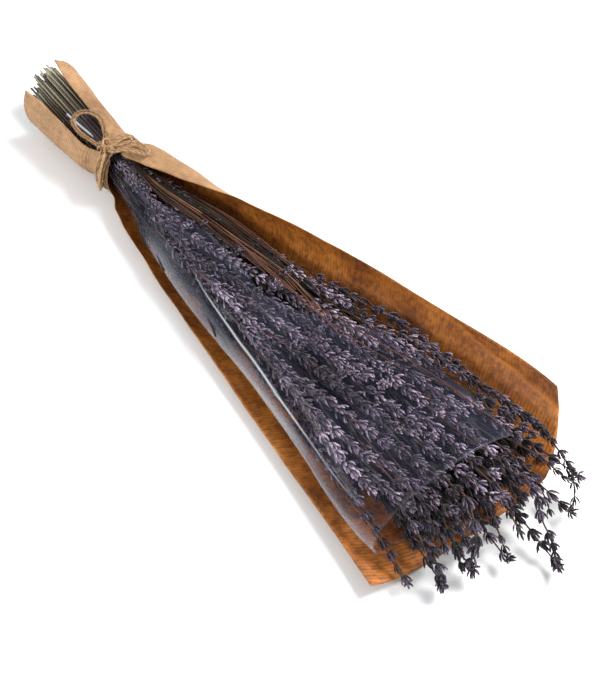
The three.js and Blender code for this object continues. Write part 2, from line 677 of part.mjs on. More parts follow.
const spikes = placeSpikes();
add('paper_wrap', paperWrap(), finish(0xb98a55, 0.85));
add('film_sleeve', filmSleeve(), finish(0xdfe3ec, 0.15));
add('twine_tie', twineTie(), finish(0xa9855a, 0.95));
add('stems', stemBundle(spikes), finish(0x6e6a4a, 0.8));
spikes.forEach((spike, k) => {
  const name = `spike_${String(k + 1).padStart(2, '0')}`;
  add(name, spikeGeometry(spike), finish(0x5a4a66, 0.9));
});

// The origin stands on the surface below the middle of the whole bunch
const middle = new THREE.Box3().setFromObject(bunch).getCenter(new THREE.Vector3());
bunch.position.set(-middle.x, -middle.y, 0);

export default bunch;
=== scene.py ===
import math

import bpy
import numpy as np
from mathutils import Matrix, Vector, noise


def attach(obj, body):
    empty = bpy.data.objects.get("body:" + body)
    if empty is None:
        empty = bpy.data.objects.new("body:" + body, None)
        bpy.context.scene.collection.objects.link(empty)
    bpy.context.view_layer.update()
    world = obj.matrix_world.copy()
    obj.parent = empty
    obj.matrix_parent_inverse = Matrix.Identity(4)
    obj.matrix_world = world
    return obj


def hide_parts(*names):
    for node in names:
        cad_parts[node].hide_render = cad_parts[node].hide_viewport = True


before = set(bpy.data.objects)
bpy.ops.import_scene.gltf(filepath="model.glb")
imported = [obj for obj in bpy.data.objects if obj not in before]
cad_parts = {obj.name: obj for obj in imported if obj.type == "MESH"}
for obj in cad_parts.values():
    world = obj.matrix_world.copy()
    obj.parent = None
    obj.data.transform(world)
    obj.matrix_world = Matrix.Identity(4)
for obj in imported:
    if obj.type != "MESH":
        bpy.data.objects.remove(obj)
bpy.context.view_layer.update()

chance = np.random.default_rng(71)

MM = 0.001
SHIFT = np.array([-0.98, 3.99, 0.0])  # from the bunch's own millimetres to the part's frame


# The bunch's own dimensions, in millimetres, with +X from the cut stems to the flowers

NECK_X = -145  # where the wrap is narrowest
TIE_X = -144.5
TIE_YAW = 15  # degrees that the tie's turns lean off square
TIE_PITCH = 3.2
TIE_FROM = -29  # degrees from the top to the right, where the turns start
TIE_TURNS = 2
TWINE_RADIUS = 0.78  # the tie is made of two thin lengths, side by side
TWIST = 5.0  # the length of one twist of its strands
PAPER_START, PAPER_END = -232, 206
PAPER_THICKNESS = 0.45
RIB_SPACING = 2.3
FILM_START, FILM_END = -196, 190
FILM_THICKNESS = 0.12
FILM_UNDER = 285  # degrees round from the right to the film's hidden edge
FILM_LEFT = 194  # degrees round to the outer side of the film's left roll
STEM_CUT = -255
CALYX_LENGTH = 6.9  # of a calyx on a full spike
CALYX_SLIMNESS = 0.128  # half its width over its length
WHORL_GAP = (8.8, 7.6)  # between whorls, on a sparse spike and on a full one
GOLDEN_TURN = 2.39996  # radians from one stem to the next round the neck

# How many there are of each small thing, or how many places are tried
SPIKES_IN_PIECE, SPIKES_IN_MASS = 10, 30
FILLER_TRIES, SHOULDER_TRIES = 2600, 260
FRONT_TRIES, HIGH_FRONT_TRIES = 900, 401
LEFT_ROW, NECK_SPIKES, BARE_STEMS = 120, 20, 38
LOW_SHADE_LEAVES, NECK_LEAVES = 640, 26

# Stations along the paper: its middle, its height and the flat width under it, and for each side
# its width, how far it turns up in degrees, and how late across it the turn comes
PAPER = dict(
    x=[-242, -217, -200, -179, -162, -152, -138, -126, -113, -90, -64, -46, 6, 56, 106, 170, 206],
    side=[2.5, 2.5, 2.5, 2.5, 2, 1, 1, 0, 0, 0, 0, 0, 0, 0, 0, 0, 0],
    lift=[0, 0, 0.2, 1.2, 2.5, 3.7, 3.7, 4.6, 4.2, 3, 2, 1.2, 0, 0, 0, 0, 0],
    flat=[2.5, 2.5, 2.6, 3.5, 3.8, 1.2, 1.2, 4, 7, 8, 8, 7.5, 8, 9, 10, 12, 13],
    left=[48.6, 49.8, 50.4, 49.5, 46.5, 37.8, 37.8, 20, 26, 31, 35, 38, 46, 54, 62, 73, 80],
    left_turn=[127, 132, 134, 140, 139, 140, 140, 66, 66, 52, 42, 36, 29, 23, 20, 21, 24],
    left_power=[1, 1, 1, 1, 1, 1, 1, 1.2, 1.6, 1.6, 1.8, 2, 2, 2, 2, 2, 2],
    right=[66.5, 63.3, 57.8, 52.4, 48.8, 52.5, 52.5, 72, 73.4, 73, 67, 63, 69, 74, 79, 85, 83],
    right_turn=[162, 172, 174, 180, 186, 196, 196, 213, 208, 196, 163, 133, 108, 91, 81, 66, 62],
    right_power=[1, 1, 1, 1, 1, 1, 1, 1, 1, 1.1, 1.1, 1, 1, 1, 1, 1, 1],
)

# How much the ribs bow towards an end, for each square millimetre off the paper's middle
RIB_BOW = dict(x=[-200, -145, 100], bow=[-0.005, 0, 0.0022])

# The crease near the right edge, as a share of the way across; the paper is dented along it and given a
# painted highlight there
CREASE = dict(x=[86, 121, 143, 180], share=[0.965, 0.965, 0.90, 0.87])

# Stations along the flowers and stems inside: middle, widths, and heights of waist, top and foot
BUNCH = dict(
    x=[-252, -200, -178, -162, -153, -145, -126, -110, -68, -10, 50, 112, 182, 250],
    middle=[5, 3, 2.8, 2, 1, 1, 0, -1, -3, -6, -8, -9, -10, -8],
    left=[13, 13, 12.6, 12.4, 12.8, 13, 13.5, 16, 25, 32, 36, 45, 56, 54],
    right=[13, 13, 12.2, 12, 12.6, 12.8, 12.5, 14, 19, 29, 38, 47, 54, 54],
    waist=[20, 19.4, 17.4, 17, 18.4, 18.6, 18, 17, 15.5, 14.5, 14.5, 14.5, 15, 15],
    top=[33, 32.4, 29.4, 28.4, 30, 31.2, 31, 32, 36, 39, 41, 42.5, 43, 40],
    low=[7, 6.4, 5.2, 5.4, 5.4, 5.6, 6.4, 6, 4, 2.4, 2, 2, 2, 2],
)

# The film's free edge on top, in degrees round the bunch
FILM_EDGE = dict(
    x=[-196, -150, -128, -106, -28, 26, 79, 87, 127, 190],
    angle=[40, 40, 75, 118, 92, 98, 64, 42, 35, 48],
)

# The narrow painted highlight on the film's left shoulder: where it lies, its width and its strength
STREAK = dict(
    x=[-202, -197, -172, -166, -20, -4, 41, 84, 121, 154, 175],
    angle=[131, 130, 120, 118, 136, 142, 152, 156, 156, 154, 152],
    width=[2.6, 2.6, 2.6, 2.6, 0.9, 0.9, 1.1, 1.1, 0.9, 0.8, 0.8],
    light=[0, 1.2, 1.2, 0, 0, 0.5, 1.6, 1.5, 0.5, 0.35, 0],
)

# The line along the right wall of the paper, at the height of the flowers
SHOULDER = dict(x=[-75, -27, 30, 86, 114, 147, 172, 200], y=[16, 22, 30, 39, 43, 44, 46, 47])

# The first and the last of the bare stems
BARE_TOP = [(-141, 2, 31), (-117, -2, 33), (-89, -6, 35), (-52, -4, 38), (-17, -2, 39.5),
            (23, 3, 40.5), (51, 1, 42), (81, -1, 42)]
BARE_SIDE = [(-141, 7, 28), (-117, 5, 29), (-89, 12, 29), (-52, 20, 29.5), (-27, 23, 30),
             (4, 26, 30), (40, 30, 30), (81, 35, 30)]
LONG_BARE_ENDS = [(184, 28, 36), (123, 10, 41.5)]

# The rim of the flowers along the right wall
RIGHT_RIM = [(20, 31, 24), (52, 36, 26), (84, 41, 27), (113, 44, 27), (130, 45, 27), (146, 45, 27),
             (160, 47, 27), (171, 48, 26), (182, 50, 25), (194, 51, 24)]

# Sprigs that hang over the paper's end: the line, length of a calyx and fullness of each
LOOSE_SPRIGS = [
    ([(156, -56, 17), (172, -58, 18), (185, -59, 17), (195, -60, 13), (203, -61, 9), (213, -62, 6)],
     4.8, 0.45),
    ([(171, -42, 28), (188, -45, 29), (204, -48, 26), (213, -47, 20), (221, -48, 13), (225, -50, 8)],
     6.6, 0.95),
    ([(190, -16, 30), (202, -16, 31), (216, -22, 27), (222, -26, 22), (225, -31, 15), (228, -33, 9)],
     6.6, 0.9),
    ([(184, 14, 28), (208, 16, 28), (220, 17, 26), (228, 13, 19), (238, 11, 13), (245, 8, 9),
      (249, 5, 6)], 6.2, 0.8),
    ([(160, 46, 20), (183, 50, 24), (193, 50, 25), (206, 47, 25), (213, 47, 21), (220, 45, 17),
      (227, 40, 11), (230, 34, 7)], 5.6, 0.6),
    ([(176, 32, 22), (203, 37, 24), (212, 39, 21), (219, 42, 18), (220, 51, 14)], 5.0, 0.45),
    ([(186, -30, 26), (204, -32, 25), (216, -34, 18), (224, -36, 11)], 6.0, 0.85),
    ([(184, -6, 26), (204, -6, 26), (219, -9, 18), (229, -11, 10)], 5.6, 0.6),
    ([(182, 4, 26), (206, 3, 26), (220, 1, 19), (230, 0, 12)], 5.4, 0.6),
    ([(182, 24, 26), (204, 24, 27), (218, 24, 20), (228, 22, 12)], 5.4, 0.6),
]

# The bow's loops and the knot's turns: each stop is the distance from the tie, the degrees from
# the top to the right, and the height over the wrap
BOW_LOOPS = [
    [(0.5, -34, 5), (-12, -37, 3.2), (-21.5, -39, 2.6), (-31, -36, 2.6), (-33, -22, 2.6),
     (-29, -10, 2.6), (-21, -3, 2.8), (-13, -5, 3), (-6.5, -14, 3.6), (1, -26, 5)],
    [(3, -24, 5), (9, 0, 3.8), (18, 10, 3), (28, 14, 2.8), (31, 9, 2.8), (25.5, 2, 3),
     (16, -13, 3.2), (5, -29, 5)],
    [(2, -34, 5), (4.5, -50, 5.2), (6, -72, 5), (8, -96, 4.6), (11, -100, 4.6), (12, -84, 5),
     (10, -62, 5.2), (6, -38, 5.2)],
]
KNOT_TURNS = [
    [(-3, -38, 3.4), (0, -33, 6.2), (4, -26, 6.0), (6, -17, 3.6)],
    [(5, -40, 3.2), (3, -33, 6.8), (-1, -25, 6.8), (-3, -17, 3.4)],
    [(-3, -31, 3.2), (-2, -29, 5.6), (4, -28, 5.8), (6, -29, 3.4)],
]


# Curves and small sums

def smooth_at(stations, key, x):
    """The value of the stations at x, on a curve that never overshoots them."""
    xs, ys = np.array([stations["x"], stations[key]], float)
    step = np.diff(xs)
    slope = np.diff(ys) / step
    bend = np.concatenate([slope[:1], np.zeros(len(xs) - 2), slope[-1:]])
    same = slope[:-1] * slope[1:] > 0
    total = np.where(same, slope[:-1] + slope[1:], 1)
    bend[1:-1] = np.where(same, 2 * slope[:-1] * slope[1:] / total, 0)
    x = np.clip(x, xs[0], xs[-1])
    i = np.clip(np.searchsorted(xs, x) - 1, 0, len(step) - 1)
    t = (x - xs[i]) / step[i]
    return ((1 + 2 * t) * (1 - t) ** 2 * ys[i] + t * (1 - t) ** 2 * step[i] * bend[i]
            + t * t * (3 - 2 * t) * ys[i + 1] + t * t * (t - 1) * step[i] * bend[i + 1])


def mix(a, b, t):
    return a + (b - a) * t


def ease(t):
    """0 below 0, 1 above 1, and a smooth rise between them."""
    t = np.clip(t, 0, 1)
    return t * t * (3 - 2 * t)


def unit(v):
    return v / np.maximum(np.linalg.norm(v, axis=-1, keepdims=True), 1e-9)


def rough(points, size, seed):
    """Smooth noise from -1 to 1 at each point, with lumps about `size` millimetres wide."""
    flat = points.reshape(-1, 3)
    found = [noise.noise(Vector(p / size) + Vector((seed, 7.3 * seed, 0))) for p in flat]
    return np.array(found).reshape(points.shape[:-1])


def spline(stops, count):
    """Points along a smooth curve through the stops."""
    stops = np.asarray(stops, float)
    padded = np.concatenate([2 * stops[:1] - stops[1:2], stops, 2 * stops[-1:] - stops[-2:-1]])
    t = np.linspace(0, len(stops) - 1, count)
    i = np.minimum(t.astype(int), len(stops) - 2)
    f = (t - i)[:, None]
    a, b, c, d = padded[i], padded[i + 1], padded[i + 2], padded[i + 3]
    return 0.5 * (2 * b + (c - a) * f + (2 * a - 5 * b + 4 * c - d) * f ** 2
                  + (3 * b - a - 3 * c + d) * f ** 3)


# Finishes: shader maths written as sums

class Wire:
    """A shader socket that takes part in sums; each adds its own maths node."""

    def __init__(self, finish, socket):
        self.finish, self.socket = finish, socket

    def maths(self, operation, *values):
        return self.finish.node("Math", {"operation": operation}, dict(enumerate(values)))

    def __add__(self, other):
        return self.maths("ADD", self, other)

    def __sub__(self, other):
        return self.maths("SUBTRACT", self, other)

    def __rsub__(self, other):
        return self.maths("SUBTRACT", other, self)

    def __mul__(self, other):
        return self.maths("MULTIPLY", self, other)

    def __pow__(self, other):
        return self.maths("POWER", self, other)

    __radd__ = __add__
    __rmul__ = __mul__

    def sine(self):
        return self.maths("SINE", self)

    def between(self, low, high):
        """0 below low, 1 above high, and a smooth rise from one to the other."""
        settings = {"interpolation_type": "SMOOTHSTEP"}
        return self.finish.node("MapRange", settings, {0: self, 1: low, 2: high})


class Finish:
    """A material being made, from its surface shader up."""

    def __init__(self, name, **values):
        self.material = bpy.data.materials.new(name)
        self.material.use_nodes = True
        self.tree = self.material.node_tree
        self.shader = self.tree.nodes["Principled BSDF"]
        self.set(**values)

    def feed(self, socket, value):
        if isinstance(value, Wire):
            self.tree.links.new(value.socket, socket)
        else:
            socket.default_value = value

    def node(self, kind, settings=None, sockets=None, out=0):
        node = self.tree.nodes.new("ShaderNode" + kind)
        for key, value in (settings or {}).items():
            if key == "stops":
                stops = node.color_ramp.elements
                while len(stops) < len(value):
                    stops.new(0.5)
                for stop, (place, shade) in zip(stops, value):
                    stop.position, stop.color = place, colour(*shade)
            else:
                setattr(node, key, value)
        for key, value in (sockets or {}).items():
            self.feed(node.inputs[key], value)
        return Wire(self, node.outputs[out])

    def set(self, **values):
        """Feeds the surface shader: base_color, roughness and so on."""
        for key, value in values.items():
            self.feed(self.shader.inputs[key.replace("_", " ").title().replace("Ior", "IOR")], value)

    def grain(self, size, stretch=(1, 1, 1), detail=3.0):
        """Noise whose lumps are about `size` metres wide, drawn out where stretch is small."""
        where = self.node("TexCoord", out="Object")
        where = self.node("VectorMath", {"operation": "MULTIPLY"}, {0: where, 1: stretch})
        return self.node("TexNoise", {}, {"Vector": where, "Scale": 1 / size, "Detail": detail})

    def given(self, name):
        """A number that the mesh carries at each point."""
        return self.node("Attribute", {"attribute_name": name}, out="Fac")

    def blend(self, share, first, second):
        return self.node("Mix", {"data_type": "RGBA"}, {0: share, 6: first, 7: second}, 2)

    def ramp(self, value, *stops):
        return self.node("ValToRGB", {"stops": stops}, {0: value})

    def bump(self, height, depth, strength=1.0):
        sockets = {"Strength": strength, "Distance": depth, "Height": height}
        self.set(normal=self.node("Bump", {}, sockets))


def colour(r, g, b):
    """A screen colour as the shader's linear colour."""
    def straight(c):
        return c / 12.92 if c < 0.04045 else ((c + 0.055) / 1.055) ** 2.4
    return (straight(r), straight(g), straight(b), 1.0)


def shaded(paint, strength):
    """A screen colour made darker or brighter by a factor."""
    return colour(*[c * strength for c in paint])


def kraft_finish(name, pale, mid, dark, gloss, mottle):
    """Kraft paper: ribs, clouds, fibres, scuffs and a painted highlight along a crease. Ribs fade as
    mottle grows.
    """
    paper = Finish(name, roughness=gloss)
    ribs = (paper.given("rib") * (2 * math.pi / RIB_SPACING)).sine() * 0.5 + 0.5
    cloud = paper.grain(0.03, detail=4.0)
    fibre = paper.grain(0.0011, (0.35, 1, 1), 4.0)
    base = paper.ramp(cloud * 0.7 + paper.grain(0.004, (0.5, 1, 1)) * 0.3,
                      (0.36, dark), (0.5, mid), (0.64, pale))
    scuff = paper.grain(0.0032, (0.7, 1, 1), 5.0)
    scuffed = paper.blend(scuff.between(0.5, 0.74) * 0.45, base, shaded(dark, 0.82))
    speck = paper.grain(0.0026, (1, 0.4, 0.6), 4.0)
    mottled = paper.blend(speck.between(0.42, 0.66) * mottle, scuffed, shaded(dark, 0.7))
    rib_strength = 1 - 0.75 * mottle
    ribbed = paper.blend(ribs * (0.45 * rib_strength), mottled, colour(*dark))
    fibred = paper.blend(fibre.between(0.45, 0.75) * 0.3, ribbed, colour(*pale))
    # Painted highlight: a paler line along the crease near the right edge, where the fold catches the
    # light
    paper.set(base_color=paper.blend(paper.given("worn") * 0.6, fibred, shaded(pale, 1.12)))
    paper.bump(ribs * (0.8 * rib_strength) + fibre * 0.35, 0.00035, 0.75)
    return paper.material


def flower_finish(name, deep, mid, pale):
    """Dried calyces: painted shade at the root, dusty at the tip, each with its own shade number, which
    also holds painted shade from spike_tone.
    """
    flower = Finish(name, roughness=0.7, specular_ior_level=0.25, sheen_weight=0.2,
                    sheen_roughness=0.4)
    down = flower.grain(0.0009, detail=2.0)
    shade, rise = flower.given("shade"), flower.given("tip").between(0.2, 1.0)
    own = flower.ramp(shade, (0.0, deep), (0.5, mid), (1.0, pale))
    # Painted shade: each calyx darkens towards its root, where the calyces round it would shade it
    root_shaded = flower.blend(rise, shaded(deep, 0.3), own)
    # The pale ribs and down fade as the shade number falls, so the painted shade in it reaches them too
    ridged = flower.blend(flower.given("rib") * rise * (shade * 0.95 + 0.15), root_shaded, colour(*pale))
    dusty = flower.blend(down.between(0.5, 0.8) * (shade * 0.8 + 0.1), ridged, colour(*pale))
    flower.set(base_color=dusty)
    flower.bump(flower.given("rib") * 0.7 + down * 0.3, 0.0003, 0.6)
    return flower.material


def stem_finish(name, stops):
    """Dried stems or leaves, streaked along them and paler towards a cut end."""
    stem = Finish(name, roughness=0.55, specular_ior_level=0.35)
    streak = stem.grain(0.002, (0.05, 1, 1), 3.0)
    own = stem.ramp(stem.given("shade"), *stops)
    streaked = stem.blend(streak.between(0.4, 0.7) * 0.55, own, colour(0.11, 0.07, 0.05))
    stem.set(base_color=stem.blend(stem.given("tip") * 0.75, streaked, colour(0.72, 0.70, 0.60)))
    stem.bump(streak, 0.0003, 0.6)
    return stem.material


def twine_finish():
    """Jute: dull, hairy, and uneven from one strand to the next."""
    twine = Finish("jute_twine", roughness=0.9, specular_ior_level=0.15, sheen_weight=0.3)
    fibre = twine.grain(0.0007, (1, 1, 1), 4.0)
    own = twine.ramp(twine.given("shade") * 0.6 + fibre * 0.4, (0.25, (0.25, 0.165, 0.085)),
                     (0.5, (0.55, 0.41, 0.265)), (0.75, (0.72, 0.575, 0.41)))
    twine.set(base_color=own)
    twine.bump(fibre, 0.0004, 0.9)
    return twine.material


def film_finish():
    """Clear film: nearly see-through and glossy, with painted highlights and reflections in its creases,
    folds and edges, and a faint blue-grey haze, part tint and part painted sheen.
    """
    film = Finish("clear_film", roughness=0.12, specular_ior_level=0.45)
    crease = film.grain(0.004, (0.06, 1, 1), 3.0)
    haze = film.grain(0.035, (0.4, 1, 1), 2.0)
    fold = film.given("fold")
    edge_on = film.node("LayerWeight", {}, {"Blend": 0.35}, "Facing")
    film.bump(crease, 0.0003, 0.12)
    # Painted highlights and reflections: where the painted shine number is high, the film is whiter and
    # less clear
    film.set(base_color=film.blend(fold, colour(0.37, 0.37, 0.48), colour(0.74, 0.75, 0.77)),
             alpha=edge_on ** 2.5 * 0.18 + crease.between(0.55, 0.85) * 0.03
             + haze.between(0.35, 0.8) * 0.03 + fold * 0.24 + 0.015)
    return film.material


OUTER_PAPER = kraft_finish("kraft_outside", (0.74, 0.575, 0.41), (0.64, 0.49, 0.34),
                           (0.50, 0.36, 0.23), gloss=0.72, mottle=0.08)
INNER_PAPER = kraft_finish("kraft_inside", (0.84, 0.52, 0.20), (0.71, 0.41, 0.13),
                           (0.44, 0.225, 0.065), gloss=0.55, mottle=0.5)
FLOWER = flower_finish("dried_flower", (0.05, 0.03, 0.065), (0.25, 0.19, 0.285), (0.78, 0.70, 0.79))
# Near-black at the low end, for the low leaves that stand in as painted shade between the flowers; paler
# for the curled leaves at the tie
LEAF_AND_SHADE = stem_finish("dried_leaf_and_painted_shade", [(0.0, (0.035, 0.035, 0.045)), (0.5, (0.10, 0.10, 0.10)),
                                  (0.8, (0.26, 0.27, 0.22)), (1.0, (0.52, 0.50, 0.44))])
BARK_STEM = stem_finish("dried_stem", [(0.0, (0.10, 0.085, 0.065)), (0.35, (0.25, 0.21, 0.15)),
                                       (0.6, (0.24, 0.13, 0.09)), (0.85, (0.40, 0.23, 0.15)),
                                       (1.0, (0.55, 0.38, 0.26))])
TWINE = twine_finish()
FILM = film_finish()


# Meshes

def put(name, data):
    """A new object in the scene."""
    thing = bpy.data.objects.new(name, data)
    bpy.context.scene.collection.objects.link(thing)
    return thing


def body(name, points, faces, materials, numbers, replaced, which=None):
    """One finished piece, from points in the bunch's own millimetres. numbers are what its finish
    reads at each point, and which is the material of each face."""
    mesh = bpy.data.meshes.new(name)
    mesh.from_pydata(((points + SHIFT) * MM).tolist(), [], faces)
    mesh.polygons.foreach_set("use_smooth", [True] * len(mesh.polygons))
    for material in materials:
        mesh.materials.append(material)
    if which is not None:
        mesh.polygons.foreach_set("material_index", which)
    for key, values in numbers.items():
        mesh.attributes.new(key, "FLOAT", "POINT").data.foreach_set("value", values)
    mesh.update()
    piece = put(name, mesh)
    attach(piece, "root")
    if replaced:
        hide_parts(*replaced)


class Pile:
    """Gathers many small bodies into one mesh."""

    def __init__(self):
        self.points, self.faces, self.count = [], [], 0
        self.numbers = {"shade": [], "tip": [], "rib": []}

    def add(self, points, faces, **numbers):
        self.points.append(points)
        self.faces.extend([tuple(self.count + i for i in face) for face in faces])
        self.count += len(points)
        for key, held in self.numbers.items():
            held.append(np.broadcast_to(numbers.get(key, 0.0), (len(points),)))

    def build(self, name, material, replaced=()):
        numbers = {key: np.concatenate(held) for key, held in self.numbers.items()}
        body(name, np.concatenate(self.points), self.faces, [material], numbers, replaced)


def frames(path):
    """Tangent, side and up at each point of a path, turning as little as they can."""
    ahead = unit(np.gradient(path, axis=0))
    up = np.empty_like(ahead)
    first = np.array([0, 0, 1.0]) if abs(ahead[0][2]) < 0.9 else np.array([0, 1.0, 0])
    up[0] = unit(first - ahead[0] * (first @ ahead[0]))
    for k in range(1, len(path)):
        up[k] = unit(up[k - 1] - ahead[k] * (up[k - 1] @ ahead[k]))
    return ahead, np.cross(up, ahead), up


def tube_faces(rings, sides):
    """Faces of a closed body whose points run ring by ring."""
    faces = [(i * sides + k, i * sides + (k + 1) % sides, (i + 1) * sides + (k + 1) % sides,
              (i + 1) * sides + k) for i in range(rings - 1) for k in range(sides)]
    return faces + [tuple(range(sides))[::-1], tuple(range((rings - 1) * sides, rings * sides))]


def tube(path, radii, sides, turn=0.0):
    """Points and faces of a closed round body along a path."""
    _, side, up = frames(path)
    radii = np.broadcast_to(radii, (len(path),))
    angle = np.arange(sides) * 2 * math.pi / sides + turn
    ring = side[:, None] * np.cos(angle)[None, :, None] + up[:, None] * np.sin(angle)[None, :, None]
    points = (path[:, None] + radii[:, None, None] * ring).reshape(-1, 3)
    return points, tube_faces(len(path), sides)


def grid_normal(grid):
    """The normal at each point of a grid: (down the rows) x (across them)."""
    return unit(np.cross(np.gradient(grid, axis=0), np.gradient(grid, axis=1)))


def sheet(name, outer, thickness, materials, numbers, replaced):
    """A thin closed sheet, from a grid of points on one face. materials are those of its faces."""
    rows, cols = outer.shape[:2]
    inner = outer + grid_normal(outer) * thickness
    points = np.concatenate([outer.reshape(-1, 3), inner.reshape(-1, 3)])
    size = rows * cols
    faces, which = [], []
    for i in range(rows - 1):
        for j in range(cols - 1):
            a, b = i * cols + j, (i + 1) * cols + j
            faces += [(a, a + 1, b + 1, b), (size + a, size + b, size + b + 1, size + a + 1)]
            which += [0, len(materials) - 1]
    place = np.arange(size).reshape(rows, cols)
    rim = np.concatenate([place[0], place[1:, -1], place[-1, -2::-1], place[-2:0:-1, 0]]).tolist()
    for a, b in zip(rim, rim[1:] + rim[:1]):
        faces.append((a, size + a, size + b, b))
        which.append(0)
    doubled = {key: np.tile(values.reshape(-1), 2) for key, values in numbers.items()}
    body(name, points, faces, materials, doubled, replaced, which)


# Kraft paper

def paper_point(x, share):
    """The paper's outer face at x, at a share across it from -1 (left edge) to 1 (right)."""
    x, share = np.broadcast_arrays(x, share)
    right = share.flat[0] > 0
    name = "right" if right else "left"
    flat = smooth_at(PAPER, "flat", x)
    arc = smooth_at(PAPER, name, x) - flat
    turn = np.radians(smooth_at(PAPER, name + "_turn", x))
    power = smooth_at(PAPER, name + "_power", x)
    fine = np.abs(share)[:, None] * (np.arange(90) + 0.5)[None] / 90
    angle = turn[:, None] * fine ** power[:, None]
    out = flat + arc * np.abs(share) * np.cos(angle).mean(1)
    up = arc * np.abs(share) * np.sin(angle).mean(1)
    y = smooth_at(PAPER, "side", x) + (out if right else -out)
    return np.stack([x, y, up + smooth_at(PAPER, "lift", x)], -1)


def stem_end_step(share):
    """How far back the paper's stem end is set, with a blunt right corner."""
    if share <= 0:
        return mix(9, 2, share ** 2)
    return mix(9, -7, share ** 2) + 3.5 * ease((share - 0.8) / 0.2)


def flower_end_step(share):
    """How far back its flower end is set, slanting to the right corner."""
    if share > 0.4:
        return -26 * ((share - 0.4) / 0.6) ** 1.3
    return -3 * share ** 4


def paper_grid(along, shares):
    """The paper's smooth outer face, and where along it each point's rib lies."""
    columns, ribs = [], []
    for share in shares:
        x = (along + stem_end_step(share) * ease((-165 - along) / 60)
             + flower_end_step(share) * ease((along - 60) / 146))
        dip = 0.07 * ease((x + 214) / 44) * ease((-147 - x) / 9) if share < 0 else 0
        columns.append(paper_point(x, share * (1 - dip)))
        width = smooth_at(PAPER, "right" if share > 0 else "left", x) * abs(share)
        ribs.append(x + np.interp(x, RIB_BOW["x"], RIB_BOW["bow"]) * width ** 2)
    return np.stack(columns, 1), np.stack(ribs, 1)


def paper_wrap():
    """The paper cone: dented all over, creased near its right edge and pleated by the tie."""
    along = np.concatenate([np.linspace(PAPER_START, -160, 40), np.linspace(-158, -100, 48),
                            np.linspace(-97, PAPER_END, 132)])
    shares = np.concatenate([-np.linspace(1, 0.001, 30), np.linspace(0.001, 1, 44)])
    grid, ribs = paper_grid(along, shares)
    off_crease = shares[None] - np.interp(along, CREASE["x"], CREASE["share"])[:, None]
    creased = ease((along - 70) / 25)[:, None]
    dents = rough(grid, 34, 3) * 0.9 + rough(grid, 11, 5) * 0.28
    dents = dents + 1.5 * np.exp(-np.abs(off_crease / 0.012)) * creased
    loose = np.abs(shares)[None, :] ** 0.8 * np.clip(np.abs(along - NECK_X) / 40, 0.15, 1)[:, None]
    normal = grid_normal(grid)
    pleat = np.exp(-((along - NECK_X) / 26) ** 2)[:, None] * np.cos(shares * 46)[None] * 0.35
    grid = grid - normal * (dents * loose)[..., None] * 0.8
    grid = grid + normal * np.maximum(pleat, 0)[..., None]
    grid[..., 2] = np.maximum(grid[..., 2], 0)
    # Painted highlight along the crease, where the fold catches the light; the finish makes the paper
    # paler there
    worn = np.exp(-(off_crease / 0.013) ** 2) * creased
    sheet("kraft_paper", grid, PAPER_THICKNESS, [OUTER_PAPER, INNER_PAPER],
          {"rib": ribs, "worn": worn}, ["paper_wrap"])


# The space inside the wrap

def girth(x, right, upper):
    """The bunch at x: its middle and waist, and its half width and rise on the side asked for."""
    middle, waist, to_right, to_left, top, low = [
        smooth_at(BUNCH, key, x) for key in ("middle", "waist", "right", "left", "top", "low")]
    return middle, waist, np.where(right, to_right, to_left), np.where(upper, top - waist, waist - low)


def bunch_point(x, angle, grow):
    """A point of the bunch's outline at x, at an angle round it from its right side."""
    x, angle = np.broadcast_arrays(x, angle)
    cos, sin = np.cos(angle), np.sin(angle)
    middle, waist, half, rise = girth(x, cos > 0, sin > 0)
    return np.stack([x, middle + (half + grow) * cos, waist + (rise + grow) * sin], -1)


def lane(x, across, depth, roundness=0.9):
    """A point inside the bunch: across from -1 (left) to 1, depth from -1 (below) to 1 (top)."""
    x, across, depth = np.broadcast_arrays(x, across, depth)
    middle, waist, half, rise = girth(x, across > 0, depth > 0)
    reach = np.sqrt(np.clip(1 - depth ** 2 * roundness, 0.05, 1))
    return np.stack([x, middle + half * across * reach, waist + rise * depth], -1)


def lane_of(point):
    """Where a point lies in the bunch: the across and depth that lane() would take."""
    x, y, z = point
    off, above = y - smooth_at(BUNCH, "middle", x), z - smooth_at(BUNCH, "waist", x)
    _, _, half, rise = girth(x, off > 0, above > 0)
    depth = np.clip(above / rise, -0.95, 0.95)
    return np.clip(off / (half * np.sqrt(1 - depth ** 2 * 0.9)), -1, 1), depth


# Clear film

def film_spread(along, lit):
    """The film's columns: their shares from its hidden edge to its free one, and their angles
    round the bunch. They gather at the streak of light."""
    ripple = np.array([noise.noise(Vector((x / 17, 0, 4))) for x in along])
    edge = np.radians(smooth_at(FILM_EDGE, "angle", along) + 2.5 * ripple)
    share = np.linspace(0, 1, 110)[None, :]
    off = share - (FILM_UNDER - lit) / (FILM_UNDER - np.degrees(edge))[:, None]
    share = share - 0.65 * off * np.exp(-(off / 0.08) ** 2) * ease((1 - share) / 0.06)
    return share, mix(math.radians(FILM_UNDER), edge[:, None], share)


